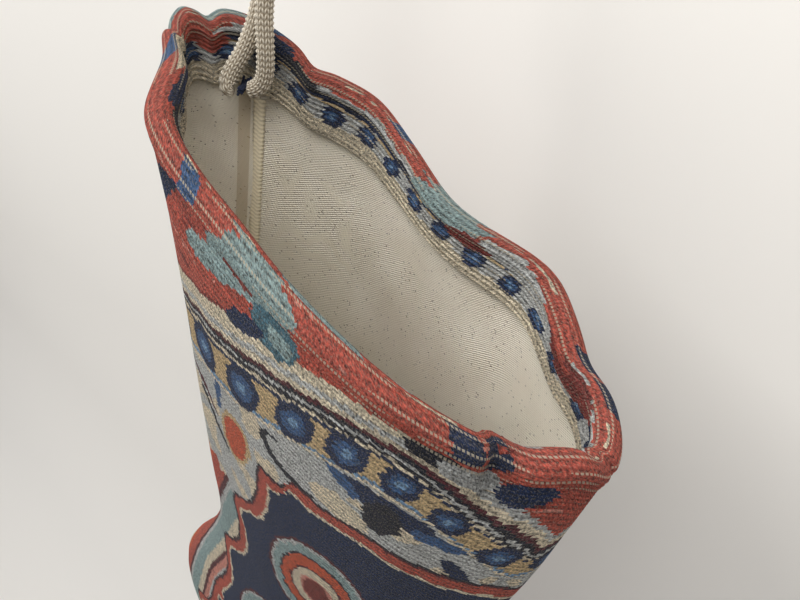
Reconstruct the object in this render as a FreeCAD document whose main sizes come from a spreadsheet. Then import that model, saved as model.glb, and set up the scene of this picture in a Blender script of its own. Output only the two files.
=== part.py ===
import FreeCAD, Part
import math
import os

# A lined stocking that hangs by a cord loop sewn inside its mouth.
# Millimetres, +Z up. The toe points along +X and the front faces -Y.
# The origin is the underside of the loop's top, where it bears on a hook.

Vector = FreeCAD.Vector

SIZES = [
    ("mouthWidth", 182.0, "heel side to toe side of the open mouth, along the rim"),
    ("mouthShift", 5.0, "middle of the mouth to the toe side of the shaft's line"),
    ("mouthDepth", 76.0, "front to back of the open mouth"),
    ("rimDroop", 18.0, "degrees the rim drops toward the toe side"),
    ("shaftLength", 217.0, "rim to ankle along the heel side"),
    ("ankleWidth", 128.0, "heel side to instep at the ankle"),
    ("ankleDepth", 50.0, "front to back at the ankle"),
    ("ankleShift", 2.0, "middle of the ankle to the toe side of the shaft's line"),
    ("forwardHang", 9.0, "how far the ankle hangs forward of the mouth"),
    ("footLength", 290.0, "back of the heel to the tip of the toe"),
    ("footDrop", 223.0, "ankle to the lowest point of the sole"),
    ("footDepth", 48.0, "front to back through the heel and foot"),
    ("hangTilt", 10.0, "degrees the shaft leans, its lower end toward the heel side"),
    ("mouthSeamAngle", 146.0, "degrees round the mouth from the toe seam to the heel seam"),
    ("clothThickness", 2.2, "ribbed chenille outer cloth"),
    ("liningThickness", 0.9, "cotton twill lining"),
    ("layerGap", 0.4, "air between layers"),
    ("seamGap", 0.6, "between the front and back panels along a seam"),
    ("hemDepth", 18.0, "how far the outer cloth turns in at the mouth"),
    ("liningDrop", 9.0, "rim to the lining's top edge, tucked behind the hem"),
    ("hemBulge", 0.8, "how far the rolled edge stands out from the cloth each side"),
    ("overlockWidth", 3.8, "bound edge of the lining seam"),
    ("overlockThickness", 1.3, "bound edge of the lining seam"),
    ("overlockGap", 1.6, "lining to the bound edge, which stands up from it"),
    ("cordDiameter", 5.5, "knitted tubular cotton cord"),
    ("loopHeight", 88.0, "tack to the hook"),
    ("loopLeanX", 0.18, "loop's lean toward the toe side, per unit of height"),
    ("loopLeanY", 0.32, "loop's lean toward the wall, per unit of height"),
    ("hookSpread", 15.0, "strand to strand over the hook"),
    ("tackDrop", 9.5, "rim to the tack, down the heel seam"),
    ("tackInset", 13.6, "outer face of the cloth to the tack's middle"),
    ("tackRadius", 1.1, "thread shank of the tack"),
    ("tackGap", 0.3, "cloth to the near end of the tack's shank"),
]

# Outline of the foot as pairs of ends of its cross-sections: the heel-and-sole end, then
# the instep end. Each is a share of footLength from the back of the heel and a share of
# footDrop below the ankle. The third entry is the depth as a share of footDepth.
FOOT = [
    ((0.134, 0.206), (0.628, 0.135), 1.00),
    ((0.062, 0.380), (0.628, 0.238), 1.00),
    ((0.006, 0.565), (0.641, 0.318), 1.00),
    ((0.020, 0.780), (0.669, 0.381), 0.98),
    ((0.110, 0.928), (0.724, 0.439), 0.96),
    ((0.276, 0.982), (0.807, 0.502), 0.95),
    ((0.483, 1.000), (0.890, 0.592), 0.92),
    ((0.670, 0.998), (0.955, 0.690), 0.84),
    ((0.820, 0.975), (0.990, 0.790), 0.66),
    ((0.910, 0.945), (1.000, 0.850), 0.44),
    ((0.958, 0.922), (0.992, 0.888), 0.22),
]
HEEL_BACK_OF_ANKLE = 53.0
SHAFT_STEPS = (0.0, 0.13, 0.33, 0.55, 0.78, 1.0)
ARC_POINTS = 9
ANKLE_SEAM_ANGLE = 172.0
RIM_SHIFT = -4.5
SEAM_DRIFT = 1.6
INSTEP_DRIFT = 1.6
TOE_SLIT = 0.15
SEAM_BULGE = 0.8
BELOW_HEM = 0.1
TOE_STEPS = 4
KNOT_SHARE = 1.4

# The rolled edge from its crest down: height as a share of the hem's whole thickness, and
# how far inside the cloth's face it stands as a share of hemBulge. The crest is CREST_WIDTH.
ROLL = [(0.55, None), (0.385, 0.4), (0.0, -1.0), (-0.55, -1.0), (-1.1, 0.5)]
CREST_WIDTH = 2.4

# The loop's centreline, strand by strand: distance out from the loop's middle and height
# above the tack as a share of loopHeight for the straight part above the fold.
LEFT_FOLD = [(1.9, 0.0), (5.4, 0.3), (8.8, 4.2)]
RIGHT_FOLD = [(1.9, 0.0), (5.2, 0.0), (7.6, 3.8)]
LEFT_STRAND = [(6.2, 0.15), (4.0, 0.30), (3.4, 0.48), (4.8, 0.68), (7.1, 0.86)]
RIGHT_STRAND = [(6.6, 0.14), (4.2, 0.29), (3.5, 0.47), (5.0, 0.69), (7.2, 0.85)]
# How much of its shorter neighbouring run each bend of the centreline takes up.
BEND_SHARE = 0.45
# Which way the strands lie side by side: the height share and the degrees from the X axis.
TWIST = [(0.0, 42.0), (0.34, -24.0), (0.85, 0.0), (1.1, 0.0)]


def makeSheet(doc):
    sheet = doc.addObject("Spreadsheet::Sheet", "Sizes")
    for row, (name, value, note) in enumerate(SIZES, start=1):
        sheet.set("A%d" % row, name)
        sheet.set("B%d" % row, str(value))
        sheet.set("C%d" % row, note)
        sheet.setAlias("B%d" % row, name)
    doc.recompute()
    return sheet


doc = FreeCAD.newDocument("Stocking")
sheet = makeSheet(doc)
size = {name: float(sheet.get(name)) for name, value, note in SIZES}


# Cross-sections. Each is an oval in the plane of its chord and the Y axis.

def section(left, right, depth, shift, seamAngle):
    chord = right - left
    return {
        "centre": (left + right) * 0.5 + Vector(0, shift, 0),
        "across": Vector(chord).normalize(),
        "halfWidth": chord.Length / 2,
        "halfDepth": depth / 2,
        "seamAngle": seamAngle,
    }


def between(a, b, share):
    mixed = {key: a[key] * (1 - share) + b[key] * share for key in a}
    mixed["across"] = Vector(mixed["across"]).normalize()
    return mixed


def raised(a, height):
    up = Vector(-a["across"].z, 0, a["across"].x)
    moved = dict(a)
    moved["centre"] = a["centre"] + up * height
    return moved


def shaftSections():
    droop = math.radians(size["rimDroop"])
    rimHalf = size["mouthWidth"] / 2
    rimReach = Vector(rimHalf * math.cos(droop), 0, -rimHalf * math.sin(droop))
    rimMiddle = Vector(size["mouthShift"], 0, 0)
    rimLeft = rimMiddle - rimReach
    rimRight = rimMiddle + rimReach
    ankleMiddle = Vector(size["ankleShift"], 0, rimLeft.z - size["shaftLength"])
    ankleReach = Vector(size["ankleWidth"] / 2, 0, 0)
    ankleLeft = ankleMiddle - ankleReach
    ankleRight = ankleMiddle + ankleReach
    made = []
    for share in SHAFT_STEPS:
        left = rimLeft + (ankleLeft - rimLeft) * share
        right = rimRight + (ankleRight - rimRight) * share
        right.x = rimRight.x + (ankleRight.x - rimRight.x) * share ** INSTEP_DRIFT
        depth = size["mouthDepth"] + (size["ankleDepth"] - size["mouthDepth"]) * share
        shift = RIM_SHIFT - size["forwardHang"] * share
        drift = share ** SEAM_DRIFT
        angle = size["mouthSeamAngle"] * (1 - drift) + ANKLE_SEAM_ANGLE * drift
        made.append(section(left, right, depth, shift, angle))
    return made, ankleLeft


def footSections(ankleLeft):
    heelBack = ankleLeft.x - HEEL_BACK_OF_ANKLE
    made = []
    for count, (soleEnd, instepEnd, depthShare) in enumerate(FOOT):
        ends = []
        for along, down in (soleEnd, instepEnd):
            x = heelBack + along * size["footLength"]
            ends.append(Vector(x, 0, ankleLeft.z - down * size["footDrop"]))
        shift = RIM_SHIFT - size["forwardHang"] - min(5.0, 2.0 * (count + 1))
        angle = min(180.0, ANKLE_SEAM_ANGLE + 4.0 * (count + 1))
        made.append(section(ends[0], ends[1], depthShare * size["footDepth"], shift, angle))
    return made


def ovalPoint(a, inset, degrees):
    wide = (a["halfWidth"] - inset) * math.cos(math.radians(degrees))
    deep = (a["halfDepth"] - inset) * math.sin(math.radians(degrees))
    return a["centre"] + a["across"] * wide + Vector(0, deep, 0)


def panelAngles(a, side):
    gap = math.degrees(size["seamGap"] / 2 / a["halfWidth"])
    if side == "front":
        return a["seamAngle"] + gap, 360.0 - gap
    return gap, a["seamAngle"] - gap


def panelWire(a, side, outer, inner):
    start, end = panelAngles(a, side)
    steps = [start + (end - start) * i / (ARC_POINTS - 1) for i in range(ARC_POINTS)]
    outside = Part.BSplineCurve()
    outside.interpolate([ovalPoint(a, outer, t) for t in steps])
    inside = Part.BSplineCurve()
    inside.interpolate([ovalPoint(a, inner, t) for t in reversed(steps)])
    ends = [
        Part.LineSegment(ovalPoint(a, outer, end), ovalPoint(a, inner, end)),
        Part.LineSegment(ovalPoint(a, inner, start), ovalPoint(a, outer, start)),
    ]
    edges = [outside.toShape(), ends[0].toShape(), inside.toShape(), ends[1].toShape()]
    return Part.Wire(edges)


def panel(sections, side, insets):
    wires = [panelWire(a, side, outer, inner) for a, (outer, inner) in zip(sections, insets)]
    return Part.makeLoft(wires, True, False)


def closedAtToe(sections, outer, inner):
    insets = [(outer, inner)] * (len(sections) - 1)
    return insets + [(outer, sections[-1]["halfDepth"] - TOE_SLIT)]


# Where things lie in the stocking's own frame, and how that frame hangs.

shaft, ankleLeft = shaftSections()
foot = footSections(ankleLeft)
whole = shaft + foot
rim = shaft[0]
firstStep = size["shaftLength"] * SHAFT_STEPS[1]
hemShare = size["hemDepth"] / firstStep
hemEnd = between(shaft[0], shaft[1], hemShare)

liningFace = size["clothThickness"] + size["layerGap"]
liningBack = liningFace + size["liningThickness"]
facingFace = liningBack + size["layerGap"]
facingBack = facingFace + size["clothThickness"]

tackShare = size["tackDrop"] / firstStep
tackSection = between(shaft[0], shaft[1], tackShare)
seamAngle = tackSection["seamAngle"]
wallAhead = ovalPoint(tackSection, 0, seamAngle - 4)
wallBehind = ovalPoint(tackSection, 0, seamAngle + 4)
alongWall = Vector(wallAhead - wallBehind).normalize()
up = Vector(-tackSection["across"].z, 0, tackSection["across"].x)
inward = alongWall.cross(up).normalize()
seamPoint = ovalPoint(tackSection, 0, seamAngle)
tackLocal = seamPoint + inward * size["tackInset"]
tackWorld = Vector(-size["loopLeanX"], -size["loopLeanY"], -1) * size["loopHeight"]

hang = FreeCAD.Rotation(Vector(0, 1, 0), size["hangTilt"])
hangPlacement = FreeCAD.Placement(tackWorld - hang.multVec(tackLocal), hang)


def addFeature(label, shape, placement):
    item = doc.addObject("Part::Feature", label)
    item.Label = label
    item.Shape = shape
    item.Placement = placement
    return item


# Outer cloth: each panel runs from the toe up to the rim, rolls over and turns in as a hem.

def outerPanel(side):
    cloth = panel(whole, side, closedAtToe(whole, 0, size["clothThickness"]))
    turned = panel([rim, hemEnd], side, [(facingFace, facingBack)] * 2)
    rollSections = []
    rollInsets = []
    for heightShare, ease in ROLL:
        outer = (facingBack - CREST_WIDTH) / 2 if ease is None else ease * size["hemBulge"]
        rollSections.append(raised(rim, facingBack * heightShare))
        rollInsets.append((outer, facingBack - outer))
    edge = panel(rollSections, side, rollInsets)
    return cloth.fuse([turned, edge]).removeSplitter()


def liningPanel(side):
    top = between(shaft[0], shaft[1], size["liningDrop"] / firstStep)
    sections = [top] + whole[1:]
    return panel(sections, side, closedAtToe(sections, liningFace, liningBack))


# Bound edge of a lining seam: a flat strip that follows the seam down inside the lining.

def overlock(atHeel):
    sections = [between(shaft[0], shaft[1], hemShare + BELOW_HEM)] + whole[1:-TOE_STEPS]
    wires = []
    for a in sections:
        angle = a["seamAngle"] if atHeel else 0.0
        near = liningBack + size["overlockGap"]
        far = near + size["overlockThickness"]
        half = math.degrees(size["overlockWidth"] / 2 / a["halfDepth"]) * SEAM_BULGE
        corners = [
            ovalPoint(a, near, angle - half),
            ovalPoint(a, near, angle + half),
            ovalPoint(a, far, angle + half),
            ovalPoint(a, far, angle - half),
        ]
        wires.append(Part.makePolygon(corners + corners[:1]))
    return Part.makeLoft(wires, True, False)


# Hanging loop: both ends fold in toward each other at the tack. Above the fold the strands
# draw together, turn a little and open again over the hook.

def loopPoint(sideways, height):
    share = height / size["loopHeight"]
    for (lowShare, lowTurn), (highShare, highTurn) in zip(TWIST, TWIST[1:]):
        if lowShare <= share <= highShare:
            turn = lowTurn + (highTurn - lowTurn) * (share - lowShare) / (highShare - lowShare)
    spread = Vector(math.cos(math.radians(turn)), math.sin(math.radians(turn)), 0)
    lean = Vector(size["loopLeanX"], size["loopLeanY"], 1)
    return tackWorld + lean * height + spread * sideways


def loopRoute():
    topHeight = size["loopHeight"] + size["cordDiameter"] / 2
    left = [(-out, height) for out, height in LEFT_FOLD]
    left += [(-out, share * size["loopHeight"]) for out, share in LEFT_STRAND]
    left.append((-size["hookSpread"] / 2, topHeight))
    right = RIGHT_FOLD + [(out, share * size["loopHeight"]) for out, share in RIGHT_STRAND]
    right.append((size["hookSpread"] / 2, topHeight))
    return [loopPoint(*point) for point in left + right[::-1]]


def roundedWire(points):
    edges = []
    radii = []
    here = points[0]
    for before, corner, after in zip(points, points[1:], points[2:]):
        into = Vector(corner - before)
        outof = Vector(after - corner)
        shorter = min(into.Length, outof.Length)
        turn = into.getAngle(outof)
        reach = BEND_SHARE * shorter
        into.normalize()
        outof.normalize()
        start = corner - into * reach
        end = corner + outof * reach
        radius = reach / math.tan(turn / 2)
        toCentre = Vector(outof - into).normalize()
        middle = corner + toCentre * (radius / math.cos(turn / 2) - radius)
        edges.append(Part.LineSegment(here, start).toShape())
        edges.append(Part.Arc(start, middle, end).toShape())
        radii.append(radius)
        here = end
    edges.append(Part.LineSegment(here, points[-1]).toShape())
    return Part.Wire(edges), radii


def hangingLoop():
    wire, radii = roundedWire(loopRoute())
    path = addFeature("LoopPath", wire, FreeCAD.Placement())
    profile = doc.addObject("Part::Circle", "LoopProfile")
    profile.setExpression("Radius", "Sizes.cordDiameter / 2")
    start = wire.Edges[0]
    along = start.tangentAt(start.FirstParameter)
    turn = FreeCAD.Rotation(Vector(0, 0, 1), along)
    profile.Placement = FreeCAD.Placement(start.valueAt(start.FirstParameter), turn)
    loop = doc.addObject("Part::Sweep", "hanging_loop")
    loop.Label = "hanging_loop"
    loop.Sections = [profile]
    loop.Spine = (path, ["Edge%d" % (i + 1) for i in range(len(wire.Edges))])
    loop.Solid = True
    loop.Frenet = False
    loop.Transition = "Right corner"
    doc.recompute()
    expected = math.pi * (size["cordDiameter"] / 2) ** 2 * wire.Length
    print("cord length %.1f mm, least radius %.1f mm" % (wire.Length, min(radii)))
    print("bend radii", ", ".join("%.1f" % radius for radius in radii))
    print("cord volume %.0f of %.0f mm3" % (loop.Shape.Volume, expected))
    return loop


# Tack: a shank of thread that ties the two cord ends to the heel seam.

def loopTack():
    shank = doc.addObject("Part::Cylinder", "TackShank")
    shank.setExpression("Radius", "Sizes.tackRadius")
    shank.Height = size["tackInset"] - facingBack - size["tackGap"]
    outward = hang.multVec(inward) * -1
    turn = FreeCAD.Rotation(Vector(0, 0, 1), outward)
    shank.Placement = FreeCAD.Placement(tackWorld, turn)
    knot = doc.addObject("Part::Sphere", "TackKnot")
    knot.setExpression("Radius", "Sizes.tackRadius * %g" % KNOT_SHARE)
    knot.Placement = FreeCAD.Placement(tackWorld, FreeCAD.Rotation())
    tack = doc.addObject("Part::MultiFuse", "loop_tack")
    tack.Label = "loop_tack"
    tack.Shapes = [shank, knot]
    return tack


subParts = []
linings = []
for side in ("front", "back"):
    cloth = outerPanel(side)
    linings.append(liningPanel(side).cut(cloth))
    subParts.append(addFeature("outer_" + side, cloth, hangPlacement))
    subParts.append(addFeature("lining_" + side, linings[-1], hangPlacement))
for name, atHeel in (("overlock_heel_seam", True), ("overlock_toe_seam", False)):
    binding = overlock(atHeel).cut(linings)
    subParts.append(addFeature(name, binding, hangPlacement))
loop = hangingLoop()
subParts.append(loop)
subParts.append(loopTack())
doc.recompute()

for item in doc.Objects:
    if "Invalid" in item.State or "Error" in item.State:
        raise RuntimeError("failed object: " + item.Label)

os.makedirs("parts", exist_ok=True)
for item in subParts:
    shape = item.Shape
    if shape.isNull() or not shape.isValid() or shape.Volume <= 0:
        raise RuntimeError("bad shape: " + item.Label)
    print(item.Label, "solids", len(shape.Solids), "volume %.0f mm3" % shape.Volume)
    shape.exportStep(os.path.join("parts", item.Label + ".step"))

print("tack at", [round(value, 2) for value in tackWorld])
total = sum(item.Shape.Volume for item in subParts[:4])
centre = Vector(0, 0, 0)
for item in subParts[:4]:
    for solid in item.Shape.Solids:
        centre = centre + solid.CenterOfMass * (solid.Volume / total)
print("centre of the cloth", [round(value, 1) for value in centre])
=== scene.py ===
import math
import bmesh
import bpy
from mathutils import Matrix, Vector, noise


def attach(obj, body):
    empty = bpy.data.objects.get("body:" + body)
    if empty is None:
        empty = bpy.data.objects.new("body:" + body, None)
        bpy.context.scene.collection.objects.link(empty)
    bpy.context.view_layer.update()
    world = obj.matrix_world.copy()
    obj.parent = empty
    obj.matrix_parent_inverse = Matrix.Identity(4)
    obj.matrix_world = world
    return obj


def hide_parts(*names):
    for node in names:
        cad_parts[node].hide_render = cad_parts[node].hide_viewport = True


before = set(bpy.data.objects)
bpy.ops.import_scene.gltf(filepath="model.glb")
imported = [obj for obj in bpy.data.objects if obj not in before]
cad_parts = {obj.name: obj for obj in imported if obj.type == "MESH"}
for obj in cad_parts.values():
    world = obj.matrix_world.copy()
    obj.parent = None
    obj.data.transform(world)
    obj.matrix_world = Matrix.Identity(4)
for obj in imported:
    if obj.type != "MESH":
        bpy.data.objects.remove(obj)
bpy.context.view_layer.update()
mm = 0.001
scene = bpy.context.scene

# Camera: close to the mouth, looking down into it from the toe side.
view = {
    "place": (0.15505, -0.13835, -0.04323),
    "turn": (57.3213, 1.1202, 42.2881),
    "lens": 26.55,
}

camera = bpy.data.objects.new("camera", bpy.data.cameras.new("camera"))
camera.data.lens = view["lens"]
camera.data.clip_start = 0.005
camera.location = view["place"]
camera.rotation_euler = [math.radians(degrees) for degrees in view["turn"]]
scene.collection.objects.link(camera)
scene.camera = camera

# Hanging loop: a knitted tube of cotton whose two ends fold in at the tack.
loopCord = {
    "diameter": 0.0055,
    "length": 0.2118,
    "route": [
        (-0.01725, -0.02943, -0.08800),
        (-0.01870, -0.03096, -0.08790),
        (-0.01900, -0.02996, -0.08380),
        (-0.01480, -0.02333, -0.07480),
        (-0.01230, -0.01752, -0.06160),
        (-0.01148, -0.01363, -0.04576),
        (-0.00982, -0.00834, -0.02816),
        (-0.00932, -0.00394, -0.01232),
        (-0.00700, 0.00088, 0.00275),
        (0.00800, 0.00088, 0.00275),
        (0.00482, -0.00422, -0.01320),
        (0.00005, -0.00938, -0.02728),
        (-0.00506, -0.01600, -0.04664),
        (-0.00718, -0.02103, -0.06248),
        (-0.00724, -0.02253, -0.07568),
        (-0.00883, -0.02274, -0.08420),
        (-0.01198, -0.02468, -0.08800),
        (-0.01443, -0.02689, -0.08800),
    ],
    "wales": 9,
    "stitch": 0.00165,
    "relief": 0.00042,
    "around": 72,
    "step": 0.00028,
}
tack = {
    "place": Vector((-0.01584, -0.02816, -0.0880)),
    "inward": Vector((0.47014, -0.84841, -0.24326)),
}


def newPiece(name, mesh):
    data = bpy.data.meshes.new(name)
    mesh.to_mesh(data)
    mesh.free()
    piece = bpy.data.objects.new(name, data)
    scene.collection.objects.link(piece)
    return piece


# Points along a smooth line through a route, evenly spaced, read from its NURBS curve.
def smoothLine(points, step, closed=False):
    curve = bpy.data.curves.new("line", "CURVE")
    curve.dimensions = "3D"
    spline = curve.splines.new("NURBS")
    spline.points.add(len(points) - 1)
    for spot, point in zip(spline.points, points):
        spot.co = (*point, 1)
    spline.order_u = 3
    spline.use_endpoint_u = not closed
    spline.use_cyclic_u = closed
    curve.resolution_u = 24
    holder = bpy.data.objects.new("line", curve)
    line = [v.co.copy() for v in bpy.data.meshes.new_from_object(holder).vertices]
    bpy.data.objects.remove(holder)
    reach = [0.0]
    for a, b in zip(line, line[1:]):
        reach.append(reach[-1] + (b - a).length)
    count = max(2, round(reach[-1] / step))
    even, seek = [], 0
    for k in range(count + 1):
        goal = reach[-1] * k / count
        while seek < len(line) - 2 and reach[seek + 1] < goal:
            seek += 1
        gap = reach[seek + 1] - reach[seek]
        even.append(line[seek].lerp(line[seek + 1], (goal - reach[seek]) / gap if gap else 0))
    return even


# Frames carried along a line without twisting: centre, side and up at each point.
def framesAlong(line, firstSide):
    side = Vector(firstSide)
    made = []
    for k, spot in enumerate(line):
        along = (line[min(k + 1, len(line) - 1)] - line[max(k - 1, 0)]).normalized()
        side = (side - along * side.dot(along)).normalized()
        made.append((spot, side, along.cross(side)))
    return made


# A tube bent along frames. radiusAt(turn, distance) gives the radius at a point on it, and the
# height of its relief, which is stored in the attribute and painted on as shade.
def tube(name, frames, around, step, radiusAt, attribute=None):
    mesh = bmesh.new()
    value = mesh.verts.layers.float.new(attribute) if attribute else None
    rings = [list(bmesh.ops.create_circle(mesh, segments=around, radius=1)["verts"])]
    edges = list(mesh.edges)
    for _ in frames[1:]:
        grown = bmesh.ops.extrude_edge_only(mesh, edges=edges)["geom"]
        verts = [g for g in grown if isinstance(g, bmesh.types.BMVert)]
        edges = [g for g in grown if isinstance(g, bmesh.types.BMEdge)]
        edges = [e for e in edges if len(e.link_faces) == 1]
        rings.append(verts)
    for verts in rings:
        verts.sort(key=lambda v: math.atan2(v.co.y, v.co.x) % (2 * math.pi))
    for count, (verts, (centre, side, up)) in enumerate(zip(rings, frames)):
        for k, vert in enumerate(verts):
            turn = 2 * math.pi * k / around
            radius, reliefShade = radiusAt(turn, count * step)
            vert.co = centre + (side * math.cos(turn) + up * math.sin(turn)) * radius
            if value:
                vert[value] = reliefShade
    for verts in (rings[0], rings[-1]):
        bmesh.ops.contextual_create(mesh, geom=verts)
    bmesh.ops.recalc_face_normals(mesh, faces=mesh.faces)
    for face in mesh.faces:
        face.smooth = True
    return newPiece(name, mesh)


# The bag: cross-sections from the mouth down the shaft and out along the foot,
# in the stocking's own upright frame, which then hangs at a slight tilt.
bag = {
    "mouthMiddle": (0.0406, -0.03248, -0.11009),
    "hangTilt": 10.0,
    "mouthWidth": 0.182,
    "mouthShift": 0.005,
    "mouthDepth": 0.076,
    "rimDroop": 18.0,
    "shaftLength": 0.217,
    "ankleWidth": 0.128,
    "ankleShift": 0.002,
    "ankleDepth": 0.050,
    "forwardHang": 0.009,
    "rimShift": -0.0045,
    "heelBack": 0.053,
    "footLength": 0.290,
    "footDrop": 0.223,
    "footDepth": 0.048,
    "mouthSeam": 146.0,
    "ankleSeam": 172.0,
    "drift": 1.6,
    "shaftSteps": (0.0, 0.13, 0.33, 0.55, 0.78, 1.0),
    "foot": [
        ((0.134, 0.206), (0.628, 0.135), 1.00),
        ((0.062, 0.380), (0.628, 0.238), 1.00),
        ((0.006, 0.565), (0.641, 0.318), 1.00),
        ((0.020, 0.780), (0.669, 0.381), 0.98),
        ((0.110, 0.928), (0.724, 0.439), 0.96),
        ((0.276, 0.982), (0.807, 0.502), 0.95),
        ((0.483, 1.000), (0.890, 0.592), 0.92),
        ((0.670, 0.998), (0.955, 0.690), 0.84),
        ((0.820, 0.975), (0.990, 0.790), 0.66),
        ((0.910, 0.945), (1.000, 0.850), 0.44),
        ((0.958, 0.922), (0.992, 0.888), 0.22),
    ],
}

# Soft rises and dips round the mouth: degrees round from the toe seam, half width in
# degrees, how far out, how far up, and how deep they reach. Lengths in millimetres.
mouthFolds = [
    (150.0, 22.0, 3.0, 4.0, 60.0),
    (84.0, 13.0, -5.0, -2.5, 45.0),
    (112.0, 9.0, 3.0, 1.5, 40.0),
    (60.0, 10.0, 3.5, 1.5, 50.0),
    (38.0, 7.0, -1.5, -1.5, 30.0),
    (206.0, 22.0, -12.0, 0.5, 70.0),
    (324.0, 3.2, -7.0, -5.2, 24.0),
    (341.0, 12.0, -1.0, 7.0, 36.0),
    (165.0, 3.6, -3.2, -1.6, 26.0),
    (176.0, 4.5, 1.0, 1.4, 26.0),
    (187.0, 3.6, -2.6, -1.2, 30.0),
    (128.0, 4.0, -2.2, -1.2, 24.0),
    (300.0, 14.0, 2.0, 1.5, 50.0),
    (262.0, 10.0, -1.5, -0.8, 40.0),
    (236.0, 9.0, 1.5, 1.0, 40.0),
]

hang = Matrix.Translation(bag["mouthMiddle"])
hang = hang @ Matrix.Rotation(math.radians(bag["hangTilt"]), 4, "Y")
droop = math.radians(bag["rimDroop"])
alongRim = Vector((math.cos(droop), 0, -math.sin(droop)))
offRim = Vector((math.sin(droop), 0, math.cos(droop)))


def bagSection(left, right, depth, shift, seam):
    chord = right - left
    return {
        "centre": (left + right) / 2 + Vector((0, shift, 0)),
        "across": chord.normalized(),
        "halfWidth": chord.length / 2,
        "halfDepth": depth / 2,
        "seam": seam,
    }


def bagSections():
    reach = alongRim * bag["mouthWidth"] / 2
    rimMiddle = Vector((bag["mouthShift"], 0, 0))
    rimLeft, rimRight = rimMiddle - reach, rimMiddle + reach
    ankleMiddle = Vector((bag["ankleShift"], 0, rimLeft.z - bag["shaftLength"]))
    ankleReach = Vector((bag["ankleWidth"] / 2, 0, 0))
    ankleLeft, ankleRight = ankleMiddle - ankleReach, ankleMiddle + ankleReach
    made = []
    for share in bag["shaftSteps"]:
        left = rimLeft.lerp(ankleLeft, share)
        right = rimRight.lerp(ankleRight, share)
        drift = share ** bag["drift"]
        right.x = rimRight.x + (ankleRight.x - rimRight.x) * drift
        depth = bag["mouthDepth"] + (bag["ankleDepth"] - bag["mouthDepth"]) * share
        seam = bag["mouthSeam"] * (1 - drift) + bag["ankleSeam"] * drift
        shift = bag["rimShift"] - bag["forwardHang"] * share
        made.append(bagSection(left, right, depth, shift, seam))
    heelBack = ankleLeft.x - bag["heelBack"]
    for count, (sole, instep, share) in enumerate(bag["foot"], start=1):
        ends = []
        for along, down in (sole, instep):
            x = heelBack + along * bag["footLength"]
            ends.append(Vector((x, 0, ankleLeft.z - down * bag["footDrop"])))
        shift = bag["rimShift"] - bag["forwardHang"] - min(0.005, 0.002 * count)
        seam = min(180.0, bag["ankleSeam"] + 4.0 * count)
        made.append(bagSection(*ends, share * bag["footDepth"], shift, seam))
    return made


sections = bagSections()
lastSection = len(sections) - 1
firstStep = bag["shaftLength"] * bag["shaftSteps"][1]


def smoothStep(a, b, c, d, t):
    slopeIn, slopeOut = (c - a) / 2, (d - b) / 2
    gap = c - b
    return b + slopeIn * t + (3 * gap - 2 * slopeIn - slopeOut) * t ** 2 + (
        slopeIn + slopeOut - 2 * gap) * t ** 3


def sectionAt(place):
    first = min(int(place), lastSection - 1)
    near = [sections[max(0, min(lastSection, first + k))] for k in (-1, 0, 1, 2)]
    here = {key: smoothStep(*(s[key] for s in near), place - first) for key in near[0]}
    here["across"] = here["across"].normalized()
    return here


def nearness(x, width):
    return math.exp(-(x / width) ** 2)


def foldAt(angle, down):
    out = lift = 0.0
    for middle, width, outward, upward, reach in mouthFolds:
        share = nearness((angle - middle + 180) % 360 - 180, width)
        share *= math.exp(-max(0.0, down) / (reach * mm))
        out += outward * mm * share
        lift += upward * mm * share
    return out, lift


def bagPoint(here, angle, inset, rise, down):
    out, lift = foldAt(angle, down)
    wide = (here["halfWidth"] - inset + out * 0.6) * math.cos(math.radians(angle))
    deep = (here["halfDepth"] - inset + out) * math.sin(math.radians(angle))
    up = Vector((-here["across"].z, 0, here["across"].x))
    return here["centre"] + here["across"] * wide + Vector((0, deep, 0)) + up * (rise + lift)


# Rows are finer down to a depth below the rim. The last ones close up past the toe: how
# much of the section is left, and millimetres past it.
fineDepth = 0.03
probeStep = 0.05
toeClosing = ((1.0, 0.0), (0.93, 1.6), (0.78, 3.0), (0.5, 4.3), (0.12, 5.0))


# Rows of a panel from the toe's tip up to the rim: place among the sections, height above
# it, inset, distance below the rim, and how much of the section's size the row keeps.
def rowsDown(topPlace, coarse, fine, inset):
    rows = []
    place, down = topPlace, 0.0
    while place < lastSection:
        rows.append((place, 0.0, inset, down, 1.0))
        step = fine if down < fineDepth else coarse
        here, ahead = sectionAt(place), sectionAt(min(lastSection, place + probeStep))
        far = 0.0
        for sign in (-1, 1):
            a = here["centre"] + here["across"] * here["halfWidth"] * sign
            b = ahead["centre"] + ahead["across"] * ahead["halfWidth"] * sign
            far = max(far, (b - a).length)
        place += step * probeStep / far
        down += step
    for scale, past in toeClosing:
        rows.append((lastSection, -past * mm, inset * scale, down + past * mm, scale))
    return rows[::-1]


shell = {
    "cloth": 0.0022,
    "rollOut": 0.0008,
    "rollTop": 0.0033,
    "hemInset": 0.0061,
    "hemDepth": 0.018,
    "ribPitch": 0.0019,
    "ribRelief": 0.00036,
    "columns": 132,
    "coarse": 0.0030,
    "fine": 0.000475,
    "seamTuck": 0.0011,
    "seamWidth": 1.6,
    "rollReach": 0.0045,
    "rollSteps": 25,
    "crestDepth": 0.0055,
    "crestBlend": 0.03,
    "seamGap": 0.15,
}


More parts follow.
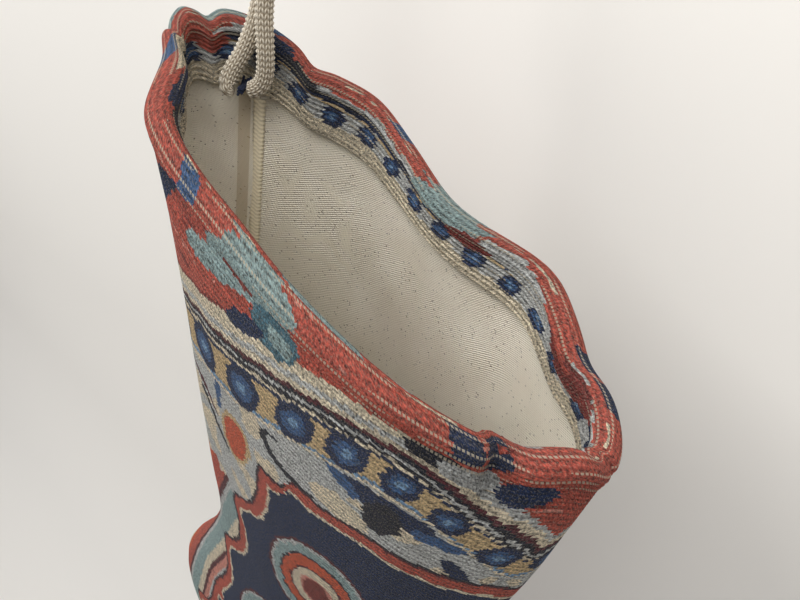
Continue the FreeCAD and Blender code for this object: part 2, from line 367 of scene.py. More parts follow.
def shellRows():
    rows = rowsDown(0.0, shell["coarse"], shell["fine"], 0.0)
    rows = [(place, rise, inset - shell["rollOut"] * nearness(down, shell["rollReach"]),
             down, scale) for place, rise, inset, down, scale in rows]
    crest = shell["hemInset"] / 2
    half = crest + shell["rollOut"]
    for k in range(1, shell["rollSteps"] + 1):
        turn = math.pi * k / shell["rollSteps"]
        inset = crest - half * math.cos(turn)
        rows.append((0.0, shell["rollTop"] * math.sin(turn), inset, 0.0, 1.0))
    count = round(shell["hemDepth"] / shell["fine"])
    for k in range(1, count + 1):
        down = shell["hemDepth"] * k / count
        inset = shell["hemInset"] + shell["rollOut"] * nearness(down, shell["rollReach"])
        rows.append((down / firstStep, 0.0, inset, down, 1.0))
    crestRow = len(rows) - count - (shell["rollSteps"] + 1) // 2
    return rows, crestRow


# A grid bent onto the bag, its columns across the panel and its rows down the profile.
# The map on the cloth is in metres: along the rim from the toe seam, and down from it.
def bentPanel(name, columns, rows, crest, angles, wallMove, tuck, side):
    mesh = bmesh.new()
    toHeel = mesh.verts.layers.float.new("toHeelSeam")
    count = len(rows)
    bmesh.ops.create_grid(mesh, x_segments=columns, y_segments=count - 1, size=0.5)
    grid = {}
    for vert in mesh.verts:
        spot = (round((vert.co.x + 0.5) * columns), round((vert.co.y + 0.5) * (count - 1)))
        grid[spot] = vert
    flat = {}
    for row in range(count - 1, -1, -1):
        place, rise, inset, down, scale = rows[row]
        here = sectionAt(place)
        a, b = here["halfWidth"] * scale, here["halfDepth"] * scale
        quarter = math.pi / 4 * (3 * (a + b) - math.sqrt((3 * a + b) * (a + 3 * b)))
        here["halfWidth"], here["halfDepth"] = a, b
        start, end = angles(here)
        run = 0.0
        toeFirst = start < 1
        spots = {}
        for column in range(columns + 1):
            share = column / columns
            edge = min(share, 1 - share) * columns
            angle = start + (end - start) * share
            local = bagPoint(here, angle, inset, rise, down)
            inward = here["centre"] - local
            inward = Vector((inward.x, inward.y * 2, inward.z)).normalized()
            local += inward * tuck * nearness(edge, shell["seamWidth"])
            local += wallMove(here, angle, down, inward)
            spots[column] = local
            grid[column, row].co = hang @ local
        middle = Vector((here["centre"].x, 0, here["centre"].z))
        order = range(columns + 1) if toeFirst else range(columns, -1, -1)
        runs, before = {}, order[0]
        for column in order:
            run += (spots[column] - spots[before]).length
            before = column
            runs[column] = run
            flat[column, row] = middle + here["across"] * (quarter - run)
        for column in order:
            grid[column, row][toHeel] = (run - runs[column]) / mm
    toeEnd = Vector((bag["mouthShift"], 0, 0)) + alongRim * bag["mouthWidth"] / 2
    fall = {}
    for column in range(columns + 1):
        fall[column, crest] = 0.0
        for step in (1, -1):
            run, row = 0.0, crest + step
            while 0 <= row < count:
                run += (grid[column, row].co - grid[column, row - step].co).length
                fall[column, row] = -run * step
                row += step
    layer = mesh.loops.layers.uv.new("cloth")
    index = {vert: key for key, vert in grid.items()}
    for face in mesh.faces:
        face.smooth = True
        for loop in face.loops:
            key = index[loop.vert]
            spot = flat[key] - toeEnd
            depth = -spot.dot(offRim)
            near = max(0.0, min(1.0, 1 - depth / shell["crestBlend"]))
            depth = fall[key] * near + (depth + shell["crestDepth"]) * (1 - near)
            if key[1] >= crest:
                depth = fall[key]
            loop[layer].uv = (spot.dot(alongRim), depth)
    mesh.normal_update()
    probe = grid[columns // 2, crest // 2 if crest < count - 1 else count // 2]
    middle = sectionAt(rows[crest // 2][0])["centre"]
    if probe.normal.dot(probe.co - hang @ middle) * side < 0:
        bmesh.ops.reverse_faces(mesh, faces=mesh.faces)
    return newPiece(name, mesh)


def thicken(piece, thickness):
    finish = piece.modifiers.new("cloth", "SOLIDIFY")
    finish.thickness = thickness
    finish.offset = -1


def clothMove(here, angle, down, inward):
    spot = Vector((here["centre"].x * 8, angle / 26, here["centre"].z * 8))
    soft = noise.noise(spot) * 1.6 * mm + noise.noise(spot * 3.1) * 0.5 * mm
    rib = math.cos(2 * math.pi * down / shell["ribPitch"]) * shell["ribRelief"]
    return inward * (soft * min(1.0, down / 0.05) - rib * nearness(down, 0.022))


def liningMove(here, angle, down, inward):
    spot = Vector((here["centre"].x * 14, angle / 19, here["centre"].z * 14))
    soft = max(0.0, noise.noise(spot)) * 2.4 + abs(noise.noise(spot * 2.3)) * 1.0
    return inward * soft * mm * min(1.0, max(0.0, down - 0.012) / 0.04)


def frontSpan(here):
    return here["seam"] + shell["seamGap"], 360 - shell["seamGap"]


def backSpan(here):
    return shell["seamGap"], here["seam"] - shell["seamGap"]


shellProfile, shellCrest = shellRows()
outerFront = bentPanel("frontPanel", shell["columns"], shellProfile, shellCrest,
                       frontSpan, clothMove, shell["seamTuck"], 1)
outerBack = bentPanel("backPanel", shell["columns"], shellProfile, shellCrest,
                      backSpan, clothMove, shell["seamTuck"], 1)
for panel in (outerFront, outerBack):
    thicken(panel, shell["cloth"])

lining = {
    "inset": 0.0035,
    "thickness": 0.0009,
    "drop": 0.009,
    "columns": 120,
    "coarse": 0.0032,
    "fine": 0.0016,
    "seamTuck": 0.0006,
}
liningRows = rowsDown(lining["drop"] / firstStep, lining["coarse"], lining["fine"],
                      lining["inset"])
liningRows = [(place, rise, inset, down + lining["drop"], scale)
              for place, rise, inset, down, scale in liningRows]
liningFront = bentPanel("liningFront", lining["columns"], liningRows, len(liningRows) - 1,
                        frontSpan, liningMove, lining["seamTuck"], -1)
liningBack = bentPanel("liningBack", lining["columns"], liningRows, len(liningRows) - 1,
                       backSpan, liningMove, lining["seamTuck"], -1)
for panel in (liningFront, liningBack):
    thicken(panel, lining["thickness"])
print("panels made")

# Knitted cord: wales run along it, and each stitch is a V whose legs lie side by side.
# Its ends close up, as the knit does where it is folded under and sewn.
def knitRadius(turn, distance):
    toEnd = min(distance, cordLength - distance) / 0.0019
    close = math.sqrt(max(0.02, 1 - max(0.0, 1 - toEnd) ** 2))
    wale = (turn / (2 * math.pi) * loopCord["wales"]) % 1 - 0.5
    course = distance / loopCord["stitch"] - abs(wale) * 1.9
    leg = nearness(abs(wale) - 0.25, 0.15)
    bump = leg * (0.5 + 0.5 * math.cos(2 * math.pi * course)) ** 0.8
    groove = nearness(abs(wale) - 0.5, 0.07) * 0.35
    # The stitch relief also goes into the cord's colour: painted shade in the grooves between the
    # stitch legs, and painted light on their raised tops.
    reliefShade = max(0.0, bump - groove)
    base = loopCord["diameter"] / 2
    fuzz = noise.noise(Vector((turn * 3, distance * 900, 0))) * 0.05
    return (base + loopCord["relief"] * (reliefShade * 1.3 - 0.8 + fuzz)) * close, reliefShade


cordLine = smoothLine(loopCord["route"], loopCord["step"])
cordLength = sum((b - a).length for a, b in zip(cordLine, cordLine[1:]))
cordFrames = framesAlong(cordLine, (0, -1, 0))
hangLoop = tube("hangLoop", cordFrames, loopCord["around"], loopCord["step"], knitRadius, "stitch")
print("loop made", len(hangLoop.data.polygons))

# Bound edge of the lining seam: slanting loops of thread over the two raw edges.
overlock = {
    "width": 0.0044,
    "thickness": 0.0013,
    "standOff": 0.0046,
    "pitch": 0.0015,
    "step": 0.00042,
    "across": 14,
    "belowHem": 0.021,
    "rowStep": 0.0012,
    "toeStop": 3.2,
    "firstRow": 5,
}


def overlockStrip(name, atHeel):
    rows = rowsDown(overlock["belowHem"] / firstStep, overlock["rowStep"],
                    overlock["rowStep"], 0.0)[overlock["firstRow"]:][::-1]
    line = []
    for place, rise, inset, down, scale in rows:
        if place > lastSection - overlock["toeStop"]:
            break
        here = sectionAt(place)
        angle = here["seam"] if atHeel else 0.0
        out = bagPoint(here, angle, overlock["standOff"], 0.0, down + overlock["belowHem"])
        ahead = bagPoint(here, angle + 3, overlock["standOff"], 0.0, down)
        line.append((hang @ out, hang @ ahead))
    mid = smoothLine([a for a, b in line[::6]] + [line[-1][0]], overlock["step"])
    frames = []
    for k, spot in enumerate(mid):
        share = k / (len(mid) - 1) * (len(line) - 1)
        a, b = line[round(share)]
        along = (mid[min(k + 1, len(mid) - 1)] - mid[max(k - 1, 0)]).normalized()
        side = (b - a) - along * (b - a).dot(along)
        side.normalize()
        frames.append((spot, side, along.cross(side)))

    def stripRadius(turn, distance):
        wide, deep = overlock["width"] / 2, overlock["thickness"] / 2
        flat = (wide * deep) / math.hypot(deep * math.cos(turn), wide * math.sin(turn))
        # The loops' relief also goes into the strip's colour: painted shade between the slanting
        # loops, and lighter on them.
        slant = distance / overlock["pitch"] + math.cos(turn) * 0.45
        reliefShade = 0.5 + 0.5 * math.cos(2 * math.pi * slant)
        return flat * (0.9 + 0.2 * reliefShade), 0.35 + 0.5 * reliefShade

    return tube(name, frames, overlock["across"], overlock["step"], stripRadius, "stitch")


heelSeam = overlockStrip("heelSeamEdge", True)
toeSeam = overlockStrip("toeSeamEdge", False)

# Tack: passes of thread between the folded cord ends and into the seam.
# Spread and stagger are in millimetres, from one pass to the next.
tackThread = {
    "radius": 0.00042,
    "passes": 7,
    "reach": 0.0069,
    "step": 0.0005,
    "around": 8,
    "spread": 0.28,
    "stagger": 0.33,
}
outward = -tack["inward"].normalized()
sideways = Vector((0.743, 0.669, 0)).normalized()
threads = []


def threadRadius(turn, distance):
    return tackThread["radius"], 0.0


for k in range(tackThread["passes"]):
    lean = (k - 3) * tackThread["spread"]
    lift = ((k * 3) % 7 - 3) * tackThread["stagger"] * mm
    knot = tack["place"] + sideways * lean * mm * 0.9 + Vector((0, 0, lift))
    far = tack["place"] + outward * tackThread["reach"]
    far += sideways * lean * mm * 1.6 + Vector((0, 0, -lift * 1.4))
    middle = knot.lerp(far, 0.5) + Vector((0, 0, lift * 0.5))
    start = knot - outward * 0.9 * mm
    line = smoothLine([start, knot, middle, far], tackThread["step"])
    threads.append(tube("thread", framesAlong(line, (0, 0, 1)), tackThread["around"],
                        tackThread["step"], threadRadius))


def joinPieces(name, pieces):
    mesh = bmesh.new()
    for piece in pieces:
        mesh.from_mesh(piece.data)
        bpy.data.objects.remove(piece)
    return newPiece(name, mesh)


tackPiece = joinPieces("tackThread", threads)
print("seams and tack made")

# Stage: one pale sheet that is the wall behind, curves forward below and is the floor.
stage = {"wall": 0.06, "curveTop": -0.62, "radius": 0.5, "top": 6.0, "reach": 8.0, "half": 8.0}


def stageSheet():
    mesh = bmesh.new()
    bmesh.ops.create_grid(mesh, x_segments=2, y_segments=60, size=1)
    turnLength = stage["radius"] * math.pi / 2
    drop = stage["top"] - stage["curveTop"]
    for vert in mesh.verts:
        run = (1 - vert.co.y) / 2 * (drop + turnLength + stage["reach"])
        if run < drop:
            y, z = stage["wall"], stage["top"] - run
        elif run < drop + turnLength:
            turn = (run - drop) / stage["radius"]
            y = stage["wall"] - stage["radius"] * (1 - math.cos(turn))
            z = stage["curveTop"] - stage["radius"] * math.sin(turn)
        else:
            y = stage["wall"] - stage["radius"] - (run - drop - turnLength)
            z = stage["curveTop"] - stage["radius"]
        vert.co = (vert.co.x * stage["half"], y, z)
    for face in mesh.faces:
        face.smooth = True
    mesh.normal_update()
    mesh.faces.ensure_lookup_table()
    if mesh.faces[0].normal.z - mesh.faces[0].normal.y < 0:
        bmesh.ops.reverse_faces(mesh, faces=mesh.faces)
    return newPiece("backdrop", mesh)


backdrop = stageSheet()

world = bpy.data.worlds.new("world")
world.use_nodes = True
sky = world.node_tree.nodes["Background"]
sky.inputs["Color"].default_value = (0.93, 0.95, 1.0, 1)
sky.inputs["Strength"].default_value = 0.56
scene.world = world
scene.view_settings.view_transform = "Standard"


def softLight(name, place, aim, size, watts):
    lamp = bpy.data.lights.new(name, "AREA")
    lamp.size = size
    lamp.energy = watts
    holder = bpy.data.objects.new(name, lamp)
    holder.location = place
    holder.rotation_euler = (Vector(aim) - Vector(place)).to_track_quat("-Z", "Y").to_euler()
    scene.collection.objects.link(holder)


softLight("key", (-0.82, -0.62, 0.85), (0, 0, -0.2), 0.6, 15.5)
softLight("fill", (0.9, -0.9, 0.9), (0, 0, -0.2), 1.0, 2.0)
softLight("mouthLight", (0.16, -0.24, 0.26), (0.05, -0.02, -0.16), 0.3, 1.4)


# Colours of the cloth and cord, as seen in daylight.
dyes = {
    "brick": (172, 76, 60),
    "darkRed": (120, 46, 40),
    "orange": (190, 82, 50),
    "rose": (196, 128, 112),
    "cream": (208, 194, 168),
    "grey": (178, 178, 174),
    "mint": (135, 155, 153),
    "teal": (70, 104, 116),
    "tan": (188, 162, 120),
    "navy": (22, 38, 70),
    "blue": (52, 84, 124),
    "sky": (110, 142, 172),
    "maroon": (82, 32, 40),
    "ink": (28, 30, 42),
}


def linear(colour):
    made = []
    for part in colour:
        part /= 255
        made.append(part / 12.92 if part <= 0.04045 else ((part + 0.055) / 1.055) ** 2.4)
    return (*made, 1)


def dye(name):
    return linear(dyes[name])


# Short ways to add nodes to a tree: each gives the socket that comes out.
def feed(tree, socket, value):
    if isinstance(value, bpy.types.NodeSocket):
        tree.links.new(value, socket)
    else:
        socket.default_value = value


def sum2(tree, how, a, b=0.0, c=0.0):
    node = tree.nodes.new("ShaderNodeMath")
    node.operation = how
    for socket, value in zip(node.inputs, (a, b, c)):
        feed(tree, socket, value)
    return node.outputs[0]


def vector2(tree, how, a, b=(0, 0, 0), c=(0, 0, 0)):
    node = tree.nodes.new("ShaderNodeVectorMath")
    node.operation = how
    for socket, value in zip(node.inputs, (a, b, c)):
        feed(tree, socket, value)
    return node.outputs["Value"] if how in ("LENGTH", "DOT_PRODUCT") else node.outputs[0]


def blend2(tree, share, a, b, how="MIX"):
    node = tree.nodes.new("ShaderNodeMix")
    node.data_type = "RGBA"
    node.blend_type = how
    feed(tree, node.inputs[0], share)
    feed(tree, node.inputs[6], a)
    feed(tree, node.inputs[7], b)
    return node.outputs[2]


def join2(tree, x, y, z=0.0):
    node = tree.nodes.new("ShaderNodeCombineXYZ")
    for socket, value in zip(node.inputs, (x, y, z)):
        feed(tree, socket, value)
    return node.outputs[0]


def split2(tree, vector):
    node = tree.nodes.new("ShaderNodeSeparateXYZ")
    feed(tree, node.inputs[0], vector)
    return node.outputs[0], node.outputs[1], node.outputs[2]


def speckle(tree, vector, scale, detail=2.0, rough=0.5):
    node = tree.nodes.new("ShaderNodeTexNoise")
    feed(tree, node.inputs["Vector"], vector)
    node.inputs["Scale"].default_value = scale
    node.inputs["Detail"].default_value = detail
    node.inputs["Roughness"].default_value = rough
    return node.outputs["Fac"], node.outputs["Color"]


# Stripes of flat colour by a value from low to high; stripes give where each begins.
def stripes(tree, value, low, high, bands, soft=False):
    spread = tree.nodes.new("ShaderNodeMapRange")
    feed(tree, spread.inputs[0], value)
    spread.inputs[1].default_value = low
    spread.inputs[2].default_value = high
    ramp = tree.nodes.new("ShaderNodeValToRGB")
    ramp.color_ramp.interpolation = "LINEAR" if soft else "CONSTANT"
    tree.links.new(spread.outputs[0], ramp.inputs[0])
    points = ramp.color_ramp.elements
    while len(points) < len(bands):
        points.new(1.0)
    for point, (begins, colour) in zip(points, bands):
        point.position = (begins - low) / (high - low)
        point.color = dye(colour) if isinstance(colour, str) else colour
    return ramp.outputs[0]


def bentLine(tree, value, low, high, points, lowest, highest):
    node = tree.nodes.new("ShaderNodeFloatCurve")
    spread = tree.nodes.new("ShaderNodeMapRange")
    feed(tree, spread.inputs[0], value)
    spread.inputs[1].default_value = low
    spread.inputs[2].default_value = high
    tree.links.new(spread.outputs[0], node.inputs["Value"])
    curve = node.mapping.curves[0]
    while len(curve.points) < len(points):
        curve.points.new(0.5, 0.5)
    for point, (x, y) in zip(curve.points, points):
        point.location = ((x - low) / (high - low), (y - lowest) / (highest - lowest))
    node.mapping.update()
    return sum2(tree, "MULTIPLY_ADD", node.outputs[0], highest - lowest, lowest)


# How far a spot is from an oval's middle, 1 on its edge.
def oval(tree, spot, middle, size, turn=0.0):
    node = tree.nodes.new("ShaderNodeMapping")
    node.vector_type = "TEXTURE"
    feed(tree, node.inputs["Vector"], spot)
    node.inputs["Location"].default_value = (*middle, 0)
    node.inputs["Rotation"].default_value = (0, 0, math.radians(turn))
    node.inputs["Scale"].default_value = (*size, 1)
    return vector2(tree, "LENGTH", node.outputs[0])


def inside(tree, distance, edge=1.0):
    return sum2(tree, "LESS_THAN", distance, edge)


def newGroup(name, inputs, outputs):
    group = bpy.data.node_groups.new(name, "ShaderNodeTree")
    for label, kind in inputs:
        group.interface.new_socket(label, in_out="INPUT", socket_type=kind)
    for label, kind in outputs:
        group.interface.new_socket(label, in_out="OUTPUT", socket_type=kind)
    return group, group.nodes.new("NodeGroupInput"), group.nodes.new("NodeGroupOutput")


# The carpet print. Every place is in millimetres on the cloth: along the rim from the toe
# seam, and down from the rim's crest.
carpet = {
    "bandTop": [(-240, 105), (-160, 82), (-130, 65), (-120, 58), (-104, 49), (-90, 42),
                (-80, 37), (-70, 32.5), (-60, 28), (-50, 25), (-40, 22.6), (-30, 22.6),
                (-20, 25), (-10, 28), (0, 32), (10, 37)],
    "bandDepth": [(-240, 27), (-110, 27), (-84, 25), (-63, 20), (-47, 17), (-32, 13),
                  (-13, 11), (10, 12)],
    "borderTop": [(-240, 150), (-90, 92), (-66, 87), (-57, 84), (-55.5, 76), (-44, 73),
                  (-34, 69), (-24, 66), (-8, 64), (10, 61)],
    "borderSide": [(60, -62), (86, -61), (106, -58.5), (118, -60), (128, -66), (140, -70),
                   (152, -64), (170, -60), (260, -64)],
}


# Height of one of the print's lines at a place along the rim, by its two nearest points.
def heightAt(line, along):
    (xa, ya), (xb, yb) = sorted(carpet[line], key=lambda point: abs(point[0] - along))[:2]
    return ya + (yb - ya) * (along - xa) / (xb - xa)


def carpetGroup():
    group, start, end = newGroup("carpetPrint", [("Spot", "NodeSocketVector")],
                                 [("Colour", "NodeSocketColor")])
    t = group
    spot = start.outputs[0]
    u, v, _ = split2(t, spot)
    u = sum2(t, "SUBTRACT", sum2(t, "PINGPONG", sum2(t, "ADD", u, 155), 165), 155)
    v = sum2(t, "PINGPONG", v, 262)
    spot = join2(t, u, v)
    bandTop = bentLine(t, u, -240, 10, carpet["bandTop"], 0, 120)
    bandDepth = bentLine(t, u, -240, 10, carpet["bandDepth"], 0, 30)
    below = sum2(t, "SUBTRACT", v, bandTop)
    share = sum2(t, "DIVIDE", below, bandDepth)
    # Red ground at the rim with streaks along it.
    stretched = join2(t, sum2(t, "MULTIPLY", u, 0.03), sum2(t, "MULTIPLY", v, 0.45))
    streak, _ = speckle(t, stretched, 1.0, 3.0)
    red = stripes(t, streak, 0, 1, [(0.0, "darkRed"), (0.36, "brick"), (0.50, "brick"),
                                    (0.63, "rose"), (0.66, "brick")])
    light = stripes(t, below, -24, 0, [(-24, "brick"), (-16.5, "darkRed"), (-15, "cream"),
                                       (-9, "grey"), (-6.5, "cream"), (-4.2, "maroon"),
                                       (-2.6, "ink"), (-1.2, "grey")])
    slope = sum2(t, "MULTIPLY_ADD", sum2(t, "ADD", u, 60), -0.09, below)
    over = sum2(t, "GREATER_THAN", slope, -14)
    colour = blend2(t, over, red, light)
    # Mint and navy shapes that break into the red.
    for middle, size, turn, name in (
            ((-99, 8.5), (17, 10), -8, "mint"), ((-110, 20), (12, 5), -14, "mint"),
            ((-82, 18), (10, 7), 24, "teal"), ((-79, 19), (6, 3), 24, "mint"),
            ((-90, 26), (8, 3.4), -30, "navy"), ((-101, 13), (8, 1.3), 4, "darkRed"),
            ((-34, 2.5), (4.5, 6), 0, "navy"), ((-36, 13), (8, 4), 6, "ink"),
            ((-23, 3), (5, 6), 0, "navy"), ((-24, 14), (10, 4.5), 4, "grey"),
            ((-8, 15), (7, 5), 10, "navy"), ((-138, 20), (5, 14), 20, "navy"),
            ((-128, 2), (4, 7), 20, "blue")):
        colour = blend2(t, inside(t, oval(t, spot, middle, size, turn)), colour, dye(name))
    # Bead border.
    band = stripes(t, share, 0, 1.2, [(0.0, "ink"), (0.07, "cream"), (0.13, "navy"),
                                      (0.2, "tan"), (0.84, "sky"), (0.92, "cream"),
                                      (1.0, "grey")])
    inBand = sum2(t, "GREATER_THAN", below, 0)
    colour = blend2(t, inBand, colour, band)
    for along, part, wide, tall in (
            (-153, 0.52, 9.5, 10), (-130, 0.52, 9.5, 10.5), (-107, 0.52, 8.6, 11),
            (-84, 0.55, 8.2, 10), (-63.5, 0.53, 6.8, 8.6), (-47, 0.5, 6.2, 7),
            (-32, 0.5, 5.6, 5.4), (-16, 0.5, 6, 4.6), (2, 0.5, 6, 4.8)):
        top, depth = heightAt("bandTop", along), heightAt("bandDepth", along)
        d = oval(t, spot, (along, top + part * depth), (wide, tall), 22 if along < -55 else 0)
        bead = stripes(t, d, 0, 1, [(0.0, "sky"), (0.26, "blue"), (0.62, "navy")])
        colour = blend2(t, inside(t, d), colour, bead)
    # Pale ground with leaves, under the beads.
    ground = sum2(t, "GREATER_THAN", share, 1.0)
    leafNoise, _ = speckle(t, spot, 0.055, 1.0)
    pale = stripes(t, leafNoise, 0, 1, [(0.0, "cream"), (0.4, "grey"), (0.6, "cream")])
    colour = blend2(t, ground, colour, pale)
    for middle, size, turn, name in (
            ((-99, 73), (16, 5), -20, "grey"), ((-96, 76), (2.2, 12), -8, "blue"),
            ((-106, 92), (13, 1.3), 16, "maroon"), ((-97, 101), (14, 1.6), 28, "ink"),
            ((-60, 62), (13, 6.2), 10, "ink"), ((-58, 61), (11.5, 5), 10, "grey"),
            ((-30, 41), (15, 4.4), -6, "navy"), ((-29, 47), (6, 8), 0, "ink"),
            ((-44, 44), (8, 2.4), 20, "blue"), ((-13, 42), (9, 2.6), -10, "blue"),
            ((-4, 52), (6, 2.6), 30, "navy"), ((-40, 58), (11, 5), -8, "cream"),
            ((-82.4, 89.6), (9.6, 15.5), 8, "tan"), ((-82.4, 89.6), (7.6, 12.6), 8, "orange")):
        leaf = inside(t, oval(t, spot, middle, size, turn))
        colour = blend2(t, sum2(t, "MULTIPLY", ground, leaf), colour, dye(name))
    # Heel streaks to the left of the stepped border.
    slant = sum2(t, "MULTIPLY_ADD", v, 0.10, u)
    heel = stripes(t, slant, -140, -30, [(-140, "navy"), (-108, "ink"), (-100, "maroon"),
                                         (-94, "cream"), (-88, "orange"), (-82, "brick"),
                                         (-72, "maroon"), (-69, "grey"), (-66, "mint"),
                                         (-56, "cream"), (-51, "maroon"), (-48, "rose"),
                                         (-44, "grey"), (-38, "ink")])
    zig = sum2(t, "PINGPONG", sum2(t, "MULTIPLY", slant, 1.4), 7)
    heelMask = sum2(t, "GREATER_THAN", sum2(t, "SUBTRACT", v, zig), 132)
    colour = blend2(t, heelMask, colour, heel)
    # Stepped red border and navy field with medallions.
    top = bentLine(t, u, -240, 10, carpet["borderTop"], 40, 160)
    vField = sum2(t, "SUBTRACT", 172, sum2(t, "ABSOLUTE", sum2(t, "SUBTRACT", v, 172)))
    side = bentLine(t, vField, 60, 260, carpet["borderSide"], -80, 0)
    edge = sum2(t, "MAXIMUM", sum2(t, "SUBTRACT", top, vField), sum2(t, "SUBTRACT", side, u))
    field = stripes(t, edge, -10, 10, [(-10, "navy"), (-0.8, "cream"), (0.6, "brick"),
                                       (5.6, "maroon"), (6.6, "ink"), (8.0, "ink")])
    colour = blend2(t, inside(t, edge, 7.6), colour, field)
    medal = oval(t, join2(t, u, vField), (-27, 126), (22, 31), -6)
    rings = stripes(t, medal, 0, 1.3, [(0.0, "darkRed"), (0.27, "rose"), (0.32, "cream"),
                                       (0.5, "maroon"), (0.54, "orange"), (0.76, "ink"),
                                       (0.8, "mint"), (0.97, "grey"), (1.03, "maroon")])
    colour = blend2(t, inside(t, medal, 1.09), colour, rings)
    t.links.new(colour, end.inputs[0])
    return group


# The turned-in hem inside the mouth shows another stretch of the print.
def hemGroup():
    group, start, end = newGroup("hemPrint", [("Spot", "NodeSocketVector")],
                                 [("Colour", "NodeSocketColor")])
    t = group
    spot = start.outputs[0]
    u, v, _ = split2(t, spot)
    wave, _ = speckle(t, join2(t, sum2(t, "MULTIPLY", u, 0.035), 3.0), 1.0, 1.0)
    deep = sum2(t, "MULTIPLY_ADD", wave, 12.0, sum2(t, "SUBTRACT", v, 6.0))
    colour = stripes(t, deep, -22, 2, [(-22, "cream"), (-18.4, "grey"), (-11.6, "tan"),
                                       (-10.8, "navy"), (-8.6, "ink"), (-7.2, "grey"),
                                       (-5.0, "brick"), (-1.2, "cream"), (-0.7, "brick")])
    along = sum2(t, "PINGPONG", sum2(t, "ADD", u, 3.6), 6.8)
    bead = vector2(t, "LENGTH", join2(t, sum2(t, "MULTIPLY", along, 0.25),
                                      sum2(t, "MULTIPLY", sum2(t, "ADD", deep, 15.4), 0.25)))
    shade = stripes(t, bead, 0, 1, [(0.0, "sky"), (0.2, "blue"), (0.6, "navy")])
    colour = blend2(t, inside(t, bead), colour, shade)
    for middle, size, turn, name in (
            ((-75, -4), (15, 5), 10, "mint"), ((-62, -9), (9, 3.5), 0, "darkRed"),
            ((-40, -9), (20, 4.2), -12, "grey"), ((-10, -10), (14, 6), 4, "darkRed"),
            ((-22, -6), (12, 3.4), -16, "brick"), ((-160, -8), (14, 5), 10, "navy"),
            ((-142, -7), (9, 3), -8, "ink"), ((-176, -3), (9, 4), 0, "cream"),
            ((-190, -9), (8, 5), 0, "brick")):
        colour = blend2(t, inside(t, oval(t, spot, middle, size, turn)), colour, dye(name))
    t.links.new(colour, end.inputs[0])
    return group


# Tufts of chenille: snaps a print to their rows, and gives their height and shade. The shade is
# random tone from tuft to tuft, plus painted shade in the grooves between the ribs.
def tuftGroup():
    group, start, end = newGroup(
        "tufts",
        [("Spot", "NodeSocketVector"), ("Pitch", "NodeSocketFloat"),
         ("Length", "NodeSocketFloat")],
        [("Snapped", "NodeSocketVector"), ("Height", "NodeSocketFloat"),
         ("Shade", "NodeSocketFloat")])
    t = group
    spot, pitch, length = (start.outputs[k] for k in range(3))
    _, ragged = speckle(t, spot, 0.22, 2.0)
    lean = vector2(t, "MULTIPLY_ADD", ragged, (3.4, 2.6, 0), (-1.7, -1.3, 0))
    u, v, _ = split2(t, vector2(t, "ADD", spot, lean))
    half = sum2(t, "MULTIPLY", pitch, 0.5)
    row = sum2(t, "FLOOR", sum2(t, "DIVIDE", v, half))
    shift = sum2(t, "MULTIPLY", sum2(t, "FRACT", sum2(t, "MULTIPLY", row, 0.37)), length)
    column = sum2(t, "FLOOR", sum2(t, "DIVIDE", sum2(t, "ADD", u, shift), length))
    snapped = join2(t, sum2(t, "SUBTRACT", sum2(t, "MULTIPLY", column, length), shift),
                    sum2(t, "MULTIPLY", row, half))
    t.links.new(snapped, end.inputs[0])
    rawU, rawV, _ = split2(t, spot)
    rib = sum2(t, "COSINE", sum2(t, "MULTIPLY", sum2(t, "DIVIDE", rawV, pitch), 2 * math.pi))
    rawRow = sum2(t, "FLOOR", sum2(t, "DIVIDE", rawV, half))
    slide = sum2(t, "MULTIPLY", sum2(t, "FRACT", sum2(t, "MULTIPLY", rawRow, 0.37)), 1.3)
    tuftTurn = sum2(t, "DIVIDE", sum2(t, "ADD", rawU, slide), length)
    tuft = sum2(t, "COSINE", sum2(t, "MULTIPLY", tuftTurn, 2 * math.pi))
    fuzz, _ = speckle(t, spot, 2.6, 3.0, 0.7)
    fine, _ = speckle(t, spot, 7.5, 2.0, 0.6)
    height = sum2(t, "MULTIPLY_ADD", rib, 0.34, sum2(t, "MULTIPLY", tuft, 0.16))
    height = sum2(t, "MULTIPLY_ADD", fuzz, 1.1, height)
    height = sum2(t, "MULTIPLY_ADD", fine, 0.4, height)
    t.links.new(height, end.inputs[1])
    cell = t.nodes.new("ShaderNodeTexWhiteNoise")
    cell.noise_dimensions = "2D"
    t.links.new(snapped, cell.inputs["Vector"])
    grain, _ = speckle(t, spot, 1.5, 1.0, 0.5)
    shade = sum2(t, "MULTIPLY_ADD", cell.outputs["Value"], 0.5, 0.80)
    # Darker in the grooves between the ribs: painted shade.
    shade = sum2(t, "MULTIPLY_ADD", rib, 0.24, shade)
    shade = sum2(t, "MULTIPLY_ADD", sum2(t, "SUBTRACT", fuzz, 0.5), 1.7, shade)
    shade = sum2(t, "MULTIPLY_ADD", sum2(t, "SUBTRACT", grain, 0.5), 3.2, shade)
    shade = sum2(t, "MAXIMUM", shade, 0.22)
    t.links.new(shade, end.inputs[2])
    return group


carpetPrint, hemPrint, tufts = carpetGroup(), hemGroup(), tuftGroup()


def useGroup(tree, group, *values):
    node = tree.nodes.new("ShaderNodeGroup")
    node.node_tree = group
    for socket, value in zip(node.inputs, values):
        feed(tree, socket, value)
    return node


def newMaterial(name, roughness=0.9, sheen=0.0):
    material = bpy.data.materials.new(name)
    material.use_nodes = True
    surface = material.node_tree.nodes["Principled BSDF"]
    surface.inputs["Roughness"].default_value = roughness
    surface.inputs["Specular IOR Level"].default_value = 0.2
    surface.inputs["Sheen Weight"].default_value = sheen
    surface.inputs["Sheen Roughness"].default_value = 0.5
    return material, material.node_tree, surface


